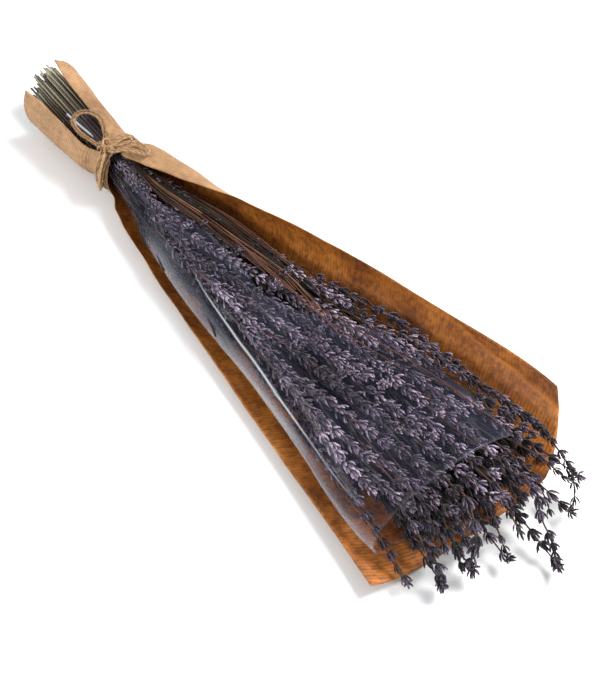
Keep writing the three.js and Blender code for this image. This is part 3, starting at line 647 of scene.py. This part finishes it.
def film_shine(x, share, turned, lit, folds, fine, ridge):
    """How much painted highlight and reflection the film carries at each point, by where it lies round the
    bunch.
    """
    width, light = (np.interp(x, STREAK["x"], STREAK[key]) for key in ("width", "light"))
    streak = np.exp(-((turned - lit) / width) ** 2) * light
    end = ease((x - FILM_END + 2.5) / 2.5)
    front = ease((x - 95) / 60)
    outward = np.clip((turned - lit - 4) / (FILM_LEFT - lit), 0, 1)
    left_roll = ease((turned - lit - 2) / 8) * ease((FILM_LEFT + 8 - turned) / 8)
    left_roll = left_roll * ease((x + 90) / 50) * (0.75 + 0.7 * ease((x - 10) / 70))
    left_roll = left_roll * (0.2 * (1 - front) + outward ** (1.5 + 0.1 * front)) * (1.5 + 0.7 * folds)
    glint = ease((fine - 0.25) * 6) * np.exp(-((x + 127) / 12) ** 2) * ease((170 - turned) / 30)
    rim = ease((share - 0.7) / 0.3) * ease((x + 120) / 14) * ease((100 - x) / 40)
    rim = rim * (0.2 + 0.8 * ease(folds * 2 + 0.4))
    # All painted light: the roll's sheen, the streak, glints near the tie, bright edges at its end and
    # free rim, the crease ridge, and a faint haze towards the front
    shine = (left_roll + streak * 2.6 + glint * 1.6 + end * 0.25 + rim * 0.2 + ridge * 0.1
             + front * 0.03)
    return np.clip(shine, 0, 3)


def film_sleeve():
    """The clear film round the flowers, creased lengthwise, with a ridge along its left."""
    along = np.linspace(FILM_START, FILM_END, 230)
    x = along[:, None]
    lit = np.interp(x, STREAK["x"], STREAK["angle"])
    share, angle = film_spread(along, lit)
    lift = 0.15 + 0.9 * ease(np.sin(angle) * 2) * ease((x - 70) / 50)
    grid = bunch_point(x, angle, lift)
    stretched = np.stack(np.broadcast_arrays(x / 7, angle * 24 + x / 30, 0.0), -1)
    folds, fine = rough(stretched, 6, 2), rough(stretched, 2.2, 9)
    turned = np.degrees(angle)
    ridge = ease(1 - np.abs(turned - 128 - 5 * folds) / 3.2)
    loose = np.clip(np.abs(x - NECK_X) / 60, 0.1, 1)
    depth = (folds * 0.55 + fine * 0.18 + ridge * 0.5) * loose
    grid = grid + grid_normal(grid) * np.maximum(depth, -0.12)[..., None]
    # Painted highlights and reflections, carried to the film's finish as a number at each point
    shine = film_shine(x, share, turned, lit, folds, fine, ridge)
    sheet("clear_film", grid, FILM_THICKNESS, [FILM], {"fold": shine}, ["film_sleeve"])


# Flower spikes

def unit_calyx():
    """A ribbed calyx of unit length and half width along +X: its points and faces, how far
    along each point is, and whether it is on a rib."""
    sides, stops = 5, [(0.0, 0.30), (0.22, 0.80), (0.62, 1.0), (0.92, 0.72), (1.0, 0.46)]
    points, rib = [], []
    for k, (t, r) in enumerate(stops):
        for i in range(sides):
            angle = 2 * math.pi * (i + 0.5 * (k % 2)) / sides
            points.append([t, r * math.cos(angle), r * math.sin(angle)])
            rib.append(i % 2)
    points = np.array(points)
    return points, tube_faces(len(stops), sides), points[:, 0], np.array(rib, float)


CALYX = unit_calyx()


def add_calyx(pile, root, ahead, side, lean, length, half_width, shade):
    """One calyx from root, leaning `lean` radians off the spike's line towards `side`."""
    points, faces, tip, rib = CALYX
    curl = lean - 0.35 * points[:, 0]
    out = points[:, 0] * length
    line = ahead * math.cos(lean) + side * math.sin(lean)
    across = side * math.cos(lean) - ahead * math.sin(lean)
    placed = (root + out[:, None] * (ahead * np.cos(curl)[:, None] + side * np.sin(curl)[:, None])
              + points[:, 1:2] * half_width * across
              + points[:, 2:3] * half_width * np.cross(line, across))
    pile.add(placed, faces, shade=shade, tip=tip, rib=rib)


def spike_tone(path):
    """How pale a spike is: a random tone, with painted shade that makes it darker low down, past the
    film's end and along the right wall.
    """
    x, y, z = path.mean(0)
    wall = np.interp(x, SHOULDER["x"], SHOULDER["y"])
    # Painted shade: darker low in the bunch, past the film's end and in the recess along the right wall
    tone = chance.uniform(0.25, 0.85) * np.clip((z - 18) / 13, 0.0, 1)
    return tone * (0.82 if path[-1][0] > FILM_END - 2 else 1) * (0.35 if y > wall - 10 else 1)


def add_spike(pile, stems, path, calyx, fullness):
    """A flower spike along a path: whorls of calyces on a thin stem, smaller towards the tip.
    calyx is the length of one, and fullness from 0 to 1 is how many there are."""
    total = np.linalg.norm(np.diff(path, axis=0), axis=1).sum()
    count = max(4, round(total / mix(*WHORL_GAP, fullness)))
    fine = spline(path, 40)
    ahead, side, up = frames(fine)
    radii = np.linspace(0.7, 0.4, len(fine) - 2)
    stems.add(*tube(fine[:-2], radii, 4), shade=chance.uniform(0.3, 0.9))
    tone = spike_tone(path)
    start = chance.uniform(0, 6.28)
    for k in range(count):
        t = (k + 0.35 + 0.3 * chance.random()) / count
        i = int(t * (len(fine) - 1))
        size = (1 - 0.34 * t ** 1.8) * (0.75 if k == 0 else 1) * mix(0.88, 1.0, fullness)
        ring = max(3, round((14 - 5 * t) * fullness))
        own = chance.normal(tone, 0.16)
        for n in range(ring):
            inner = n % 3 == 2
            turn = start + k * 0.9 + 2 * math.pi * n / ring + chance.normal(0, 0.16)
            outward = side[i] * math.cos(turn) + up[i] * math.sin(turn)
            lean = chance.normal(0.42 if inner else 0.9, 0.13) * mix(0.75, 1.0, fullness)
            length = calyx * mix(0.88, 1.08, chance.random()) * size
            root = fine[i] + outward * 0.5 + ahead[i] * (chance.normal(0, 0.4) + (1.3 if inner else 0))
            shade = np.clip(chance.normal(own, 0.14), 0, 1)
            add_calyx(pile, root, ahead[i], outward, lean, length, length * CALYX_SLIMNESS, shade)
    for n in range(4):
        turn = 2 * math.pi * n / 4
        outward = side[-1] * math.cos(turn) + up[-1] * math.sin(turn)
        add_calyx(pile, fine[-4], ahead[-1], outward, 0.3, calyx * 0.66, calyx * 0.11, tone)


def solid_spike(name):
    """A spike on the line of the solid one of that name, as full as the solid is wide."""
    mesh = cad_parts[name].data
    points = np.array([v.co for v in mesh.vertices]) / MM - SHIFT
    centre = points.mean(0)
    line = np.linalg.svd(points - centre, full_matrices=False)[2][0]
    line = line if line[0] > 0 else -line
    place = (points - centre) @ line
    cuts = np.linspace(place.min(), place.max(), 7)
    stops = [points[(place >= low) & (place <= high)].mean(0) for low, high in zip(cuts, cuts[1:])]
    stops = [points[np.argmin(place)], *stops, points[np.argmax(place)]]
    off = points - centre - place[:, None] * line
    half_width = np.percentile(np.linalg.norm(off, axis=1), 92)
    return np.array(stops), CALYX_LENGTH, np.clip((half_width - 2.6) / 2.4, 0.42, 1)


def apart(path, others, gap):
    """Whether a spike's line keeps `gap` millimetres from the others' lines."""
    xs = np.linspace(path[0][0], path[-1][0], 7)
    line = np.stack([np.interp(xs, path[:, 0], path[:, d]) for d in (1, 2)], -1)
    for other in others:
        shared = (xs > other[0][0] - 3) & (xs < other[-1][0] + 3)
        if shared.any():
            near = np.stack([np.interp(xs, other[:, 0], other[:, d]) for d in (1, 2)], -1)
            if np.linalg.norm((line - near)[shared], axis=1).min() < gap:
                return False
    return True


def filler_spikes(lines):
    """Spikes between the solid ones, most of them at the top, where they show."""
    steps = np.linspace(0, 1, 5)
    for attempt in range(FILLER_TRIES):
        x = -134 + 294 * chance.random() ** 0.85
        top = attempt < FILLER_TRIES / 2
        left = 6.3 / smooth_at(BUNCH, "left", x) - 1
        across = chance.uniform(max(left, -0.7) if top and -60 < x < 70 else left, 0.9)
        if x + 10 < 40 * chance.random() + 10 and across > 0.05 + 0.3 * chance.random() and x > -100:
            continue
        depth = chance.uniform(0.38, 0.68) if top else chance.uniform(-0.5, 0.45)
        length = chance.uniform(46, 66) * (0.62 if x < -96 else 1)
        path = lane(x + length * steps, across + chance.normal(-0.02 * across, 0.05) * steps,
                    np.minimum(depth + 0.22 * steps, 0.8))
        gap = mix(4.6, 7.4 if top else 6.2, np.clip((x + 130) / 130, 0, 1))
        if x + length < 203 and apart(path, lines, gap):
            lines.append(path)
            yield path, chance.uniform(6.4, 7.3) * (0.76 if x < -96 else 1), 1.0


def left_spikes(lines):
    """A row of spikes along the left of the bunch, against the film."""
    steps = np.linspace(0, 1, 5)
    for k in range(LEFT_ROW):
        x = mix(-128, 145, (k + chance.random()) / LEFT_ROW)
        left = 5.6 / smooth_at(BUNCH, "left", x) - 1
        across, depth = left + chance.uniform(0, 0.3 if x < -40 else 0.12), chance.uniform(0.15, 0.62)
        path = lane(x + mix(40, 54, k / LEFT_ROW) * steps, across, depth + 0.1 * steps)
        if apart(path, lines, 4.5):
            lines.append(path)
            yield path, 5.2 if x < -90 else 6.4, 1.0


def shoulder_spikes(lines):
    """Spikes along the right side, between the bunch and the paper's wall."""
    for _ in range(SHOULDER_TRIES):
        x = chance.uniform(-38, 152)
        steps = x + chance.uniform(42, 56) * np.linspace(0, 1, 5)
        inward = chance.uniform(1.5, 13)
        y = np.interp(steps, SHOULDER["x"], SHOULDER["y"]) - 2 - inward
        z = 20 + 9 * chance.random() + inward * 0.25 + np.linspace(0, 3, 5)
        path = np.stack([steps, y, z], -1)
        if apart(path, lines, 5.6):
            lines.append(path)
            yield path, chance.uniform(6.0, 6.8), 0.95


def neck_spikes():
    """Short spikes that come out at the tie."""
    steps = np.linspace(0, 1, 5)
    for k in range(NECK_SPIKES):
        x = chance.uniform(-141, -114)
        across = mix(-0.8, 0.45, (k + chance.random()) / NECK_SPIKES)
        depth = chance.uniform(0.6, 0.84)
        path = lane(x + chance.uniform(15, 25) * steps, across + chance.normal(0, 0.2) * steps,
                    depth + 0.06 * steps)
        yield path, 4.6, 0.85


def front_spikes(lines):
    """Spikes that come out past the film and droop over the end of the paper."""
    for attempt in range(FRONT_TRIES):
        low = attempt >= HIGH_FRONT_TRIES
        y = chance.uniform(-47, 44)
        z = chance.uniform(9, 19) if low else chance.uniform(19, 33)
        reach = chance.uniform(188, 200) if low else chance.uniform(198, 216)
        droop = 4 if low else chance.uniform(9, 14)
        path = np.array([(reach - 44, y * 0.88 - 1, z + 2), (reach - 26, y * 0.94, z + 1),
                         (reach - 11, y, z - 4), (reach, y * 1.03, z - droop)])
        if apart(path[1:], lines, 5.2 if low else 5.8):
            lines.append(path)
            yield path, chance.uniform(6.2, 7.0), 1.0


def edge_spikes():
    """Spikes that lean on the right wall, at the rim of the bunch, made dark by painted shade in
    spike_tone.
    """
    rim = spline(RIGHT_RIM, 60)
    for first in range(0, 50, 9):
        yield rim[first:first + 12:2] + chance.normal(0, 0.6, 3), 6.2, 0.9


def spike_pile(name, spikes, stems, replaced=()):
    """One piece of several spikes; their own thin stems go to the stem bundle."""
    pile = Pile()
    for path, calyx, fullness in spikes:
        add_spike(pile, stems, path, calyx, fullness)
    pile.build(name, FLOWER, replaced)


def spike_piles(name, count, spikes, stems, replaced=()):
    """Numbered pieces of `count` spikes each."""
    for number, first in enumerate(range(0, len(spikes), count), 1):
        group = slice(first, first + count)
        spike_pile(f"{name}_{number}", spikes[group], stems, replaced[group])


def stem_path(base, ahead, turn, reach):
    """A stem from its cut end through the tie, low below the flowers and up to its spike."""
    across_neck, depth_neck = reach * math.cos(turn), reach * math.sin(turn)
    across, depth = lane_of(base)
    cut = STEM_CUT + 4.5 * (1 - across_neck) + 17 * chance.random() ** 1.4
    stops = [lane(cut, across_neck * 1.04 + 0.2, depth_neck * 0.95, roundness=0),
             lane(-216, across_neck * 1.02 + 0.11, depth_neck, roundness=0)]
    stops += [lane(x, across_neck, depth_neck, roundness=0) for x in (-178, -160, TIE_X)]
    if base[0] - TIE_X > 45:
        for t in (0.25, 0.5, 0.7):
            x = mix(TIE_X, base[0], t)
            low = mix(depth_neck, depth, t) - 0.9 * math.sin(math.pi * t) * chance.uniform(0.2, 0.9)
            stops.append(lane(x, mix(across_neck, across, ease(t) * 0.3 + 0.7 * t), max(low, -0.85)))
    stops += [base - ahead * 12, base]
    return spline(stops, 40)


def grow_stems(spikes, stems):
    """A stem to each spike, all of them spread evenly over the round neck."""
    for place, chosen in enumerate(chance.permutation(len(spikes))):
        path = spikes[chosen][0]
        reach = 0.9 * math.sqrt((place + 0.5) / len(spikes))
        line = stem_path(path[0], unit(path[1] - path[0]), place * GOLDEN_TURN, reach)
        radius = chance.uniform(0.5, 0.85)
        points, faces = tube(line, np.linspace(radius, 0.5, len(line)), 5, chance.random())
        pale = np.repeat(np.clip((-185 - line[:, 0]) / 45, 0, 1) * chance.uniform(0.05, 1.25) ** 1.5, 5)
        stems.add(points, faces, shade=chance.random(), tip=pale)


def bare_stems(stems):
    """Stems that lie open from the tie along the right of the fan, over the lower flowers."""
    top, side = spline(BARE_TOP, 40), spline(BARE_SIDE, 40)
    t = np.linspace(0, 1, 40)
    for k in range(BARE_STEMS):
        share = (k + chance.random()) / BARE_STEMS
        drift = 0.08 * chance.normal()
        line = mix(top, side, share + drift * t[:, None])
        line[:, 2] += 5.5 * share * (1 - share) * ease(t * 3)
        line[:, 2] -= chance.uniform(0, 4.5) * ease(t * 3)
        line[:, 1] += 0.7 * np.sin(t * chance.uniform(4, 9) + chance.uniform(0, 6))
        last = int(chance.uniform(27, 40))
        line = line[:last]
        line[:, 2] -= 7 * np.linspace(0, 1, last) ** 6
        shade = chance.choice([chance.uniform(0, 0.25), chance.uniform(0.55, 1.0)], p=[0.35, 0.65])
        stems.add(*tube(line[::2], np.linspace(0.45, 0.3, len(line[::2])), 5), shade=shade)
    for end in LONG_BARE_ENDS:
        stops = [(-52, 2, 37.5), (-17, 2, 40), (40, 0, 42.3), (end[0] - 50, end[1] - 9, 42.4), end]
        stems.add(*tube(spline(stops, 30), np.linspace(0.5, 0.3, 30), 5), shade=0.78)


def add_leaf(pile, line, width, turn, shade):
    """A narrow dried leaf along a line: pointed, and folded a little along its middle."""
    _, side, up = frames(line)
    across = side * math.cos(turn) + up * math.sin(turn)
    off = up * math.cos(turn) - side * math.sin(turn)
    t = np.linspace(0, 1, len(line))[:, None]
    half = 0.12 + width / 2 * np.sin(math.pi * (0.08 + 0.88 * t)) ** 0.7
    rims = [line + across * half + off * half * 0.35, line + off * 0.15,
            line - across * half + off * half * 0.35, line - off * 0.15]
    pile.add(np.stack(rims, 1).reshape(-1, 3), tube_faces(len(line), 4), shade=shade)


def leaves():
    """Dark leaves low among the stems, near-black as painted shade in the gaps between the flowers, and a
    few pale curled ones at the tie.
    """
    pile = Pile()
    steps = np.linspace(0, 1, 7)
    for _ in range(LOW_SHADE_LEAVES):
        x = -132 + 297 * chance.random() ** 0.8
        across = chance.uniform(np.interp(x, [0, 60, 165], [-0.93, -0.8, -0.55]), 0.82 if x < 0 else 0.95)
        depth = chance.uniform(-0.15, 0.3)
        length = chance.uniform(24, 40) * (0.7 if x < -90 else 1)
        drift = chance.normal(0, 0.09)
        path = lane(x + length * steps, across + drift * steps, depth + 0.12 * np.sin(math.pi * steps))
        # Painted shade: the low leaves are kept near-black so that the gaps between the flowers read as
        # shade
        add_leaf(pile, path, chance.uniform(2.2, 3.6), chance.normal(0, 0.4), chance.uniform(0, 0.4))
    for k in range(NECK_LEAVES):
        x = chance.uniform(-142, -120)
        across = mix(-0.75, 0.55, (k + chance.random()) / NECK_LEAVES)
        path = lane(x + chance.uniform(8, 17) * steps, across + chance.uniform(-0.4, 0.4) * steps ** 2,
                    0.74 + 0.2 * np.sin(math.pi * steps))
        add_leaf(pile, path, chance.uniform(0.9, 1.9), chance.uniform(-1.2, 1.2), chance.uniform(0.7, 1.0))
    pile.build("leaves", LEAF_AND_SHADE)


def flowers_and_stems():
    """Every spike, on the line of a solid one or added between them, with its stem and leaves."""
    stems = Pile()
    solid = sorted(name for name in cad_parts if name.startswith("spike"))
    grown = [solid_spike(name) for name in solid]
    spike_piles("flower_spikes", SPIKES_IN_PIECE, grown, stems, solid)
    loose = [(np.array(stops, float), calyx, fullness) for stops, calyx, fullness in LOOSE_SPRIGS]
    edge = list(edge_spikes())
    taken = [path for path, _, _ in grown + edge + loose]
    added = [*edge, *front_spikes(taken), *shoulder_spikes(taken), *filler_spikes(taken),
             *left_spikes(taken), *neck_spikes()]
    spike_piles("flower_mass", SPIKES_IN_MASS, added, stems)
    spike_pile("loose_sprigs", loose, stems)
    grow_stems(grown + added + loose, stems)
    bare_stems(stems)
    stems.build("stem_bundle", BARK_STEM, ["stems"])
    leaves()


# Jute tie

def over_wrap(along, angle, height):
    """A point over the wrap: its distance from the tie, its degrees from the top to the right,
    and its height over the paper or the gap in it."""
    x = TIE_X + along
    middle, waist = smooth_at(BUNCH, "middle", x), smooth_at(BUNCH, "waist", x)
    shares = np.concatenate([-np.linspace(1, 0.01, 40), np.linspace(0.01, 1, 60)])
    section = np.array([paper_point([x], share)[0] for share in shares])
    polar = np.stack([section[:, 2] - waist, section[:, 1] - middle], -1)
    line = np.array([math.cos(math.radians(angle)), math.sin(math.radians(angle))])
    side = line[0] * polar[:, 1] - line[1] * polar[:, 0]
    reach = 0.0
    for k in np.nonzero(side[:-1] * side[1:] <= 0)[0]:
        point = mix(polar[k], polar[k + 1], side[k] / (side[k] - side[k + 1]))
        if point @ line > 0:
            reach = max(reach, np.linalg.norm(point))
    reach = reach or max(np.linalg.norm(polar[0]), np.linalg.norm(polar[-1]))
    out = reach + height
    return np.array([x, middle + out * line[1], waist + out * line[0]])


def lay_strands(pile, line, radius):
    """Three strands twisted round a line, with loose fibres standing off them."""
    length = np.linalg.norm(np.diff(line, axis=0), axis=1).sum()
    count = max(16, int(length / 0.8))
    t = np.linspace(0, len(line) - 1, count)
    base = np.stack([np.interp(t, np.arange(len(line)), line[:, d]) for d in range(3)], -1)
    _, side, up = frames(base)
    phase = np.linspace(0, length / TWIST * 2 * math.pi, count)
    for strand in range(3):
        angle = (phase + strand * 2 * math.pi / 3)[:, None]
        centre = base + (side * np.cos(angle) + up * np.sin(angle)) * radius * 0.47
        thick = radius * 0.56 * (1 + 0.06 * np.sin(3.1 * phase + strand))
        pile.add(*tube(centre, thick, 5), shade=chance.uniform(0.35, 0.9))
    for _ in range(int(length * 0.9)):
        k = chance.integers(1, count - 1)
        angle = chance.uniform(0, 2 * math.pi)
        out = side[k] * math.cos(angle) + up[k] * math.sin(angle)
        lie = unit(base[k + 1] - base[k]) * chance.choice([-1, 1])
        root = base[k] + out * radius * 0.8
        far = chance.uniform(0.8, 3.0)
        hair = [root, root + (out * 0.45 + lie) * far * 0.6, root + (out * 0.8 + lie * 1.3) * far]
        pile.add(*tube(spline(hair, 4), [0.07, 0.06, 0.05, 0.03], 3), shade=chance.uniform(0.5, 1.0))


def lay_pair(pile, line, radius):
    """Two thin lengths of twine along a line, now touching and now a little apart."""
    _, side, up = frames(line)
    t = np.linspace(0, 1, len(line))[:, None]
    swing = np.sin(t * chance.uniform(3, 7) + chance.uniform(0, 6)) * 0.35
    for hand in (-1, 1):
        lay_strands(pile, line + hand * radius * (1.1 + 0.3 * swing) * side + hand * swing * up, radius)


def jute_tie():
    """The twine: its turns round the neck, the bow's three loops and the knot."""
    pile = Pile()
    turns = []
    for turn in np.arange(TIE_TURNS * 40 + 1) / 40:
        angle = TIE_FROM + 360 * turn
        slant = -math.tan(math.radians(TIE_YAW)) * 16 * math.sin(math.radians(angle))
        turns.append(over_wrap((turn - 1) * TIE_PITCH + slant, angle, 1.75))
    lay_pair(pile, np.array(turns), TWINE_RADIUS)
    for loop in BOW_LOOPS:
        lay_pair(pile, np.array([over_wrap(*p) for p in spline(loop, 60)]), TWINE_RADIUS)
    for turn in KNOT_TURNS:
        lay_pair(pile, np.array([over_wrap(*p) for p in spline(turn, 18)]), TWINE_RADIUS * 1.1)
    pile.build("jute_tie", TWINE, ["twine_tie"])


# Light, floor and camera, in metres

FLOOR_HALF, FLOOR_Z = 4, -0.0002


def area_light(name, place, aim, size, power, tint=(1, 1, 1)):
    lamp = bpy.data.lights.new(name, "AREA")
    lamp.shape, lamp.size, lamp.size_y = "RECTANGLE", size[0], size[1]
    lamp.energy, lamp.color = power, tint
    light = put(name, lamp)
    light.location = place
    light.rotation_euler = (Vector(aim) - Vector(place)).to_track_quat("-Z", "Y").to_euler()


def studio():
    """A white surround, a soft key light, a weak fill, a low strip for the film and a floor."""
    world = bpy.data.worlds.new("studio")
    bpy.context.scene.world = world
    world.use_nodes = True
    world.node_tree.nodes["Background"].inputs["Color"].default_value = (1, 1, 1, 1)
    world.node_tree.nodes["Background"].inputs["Strength"].default_value = 0.57
    area_light("key", (0.28, 0.6, 0.82), (0.03, 0, 0), size=(0.6, 0.45), power=18)
    area_light("fill", (0.5, -0.7, 0.7), (0.05, 0, 0), size=(0.6, 0.6), power=1.0)
    area_light("streak", (-0.25, -0.55, 0.35), (0.02, -0.02, 0.02), size=(0.6, 0.06), power=2.5,
               tint=(0.93, 0.96, 1))
    floor_finish = Finish("pale_floor", base_color=(0.93, 0.93, 0.93, 1), roughness=0.8,
                          specular_ior_level=0.1)
    mesh = bpy.data.meshes.new("floor")
    corners = [(-1, -1), (1, -1), (1, 1), (-1, 1)]
    mesh.from_pydata([(x * FLOOR_HALF, y * FLOOR_HALF, FLOOR_Z) for x, y in corners], [], [(0, 1, 2, 3)])
    mesh.materials.append(floor_finish.material)
    floor = put("floor", mesh)


def camera(aim_x, around, above, distance, focal_length):
    """Looks at a place along the bunch, in its own millimetres, from two angles in degrees."""
    lens = bpy.data.cameras.new("camera")
    lens.lens, lens.sensor_width = focal_length, 36
    lens.clip_start, lens.clip_end = 0.05, 20
    eye = put("camera", lens)
    around, above = math.radians(around), math.radians(above)
    back = Vector((math.sin(around) * math.cos(above), -math.cos(around) * math.cos(above),
                   math.sin(above)))
    aim = Vector(((aim_x + SHIFT[0]) * MM, SHIFT[1] * MM, 0))
    eye.location = aim + back * distance
    eye.rotation_euler = (-back).to_track_quat("-Z", "Y").to_euler()
    bpy.context.scene.camera = eye


camera(aim_x=46, around=52, above=46, distance=0.85, focal_length=75)
studio()
bpy.context.scene.view_settings.view_transform = "Standard"
paper_wrap()
film_sleeve()
jute_tie()
flowers_and_stems()
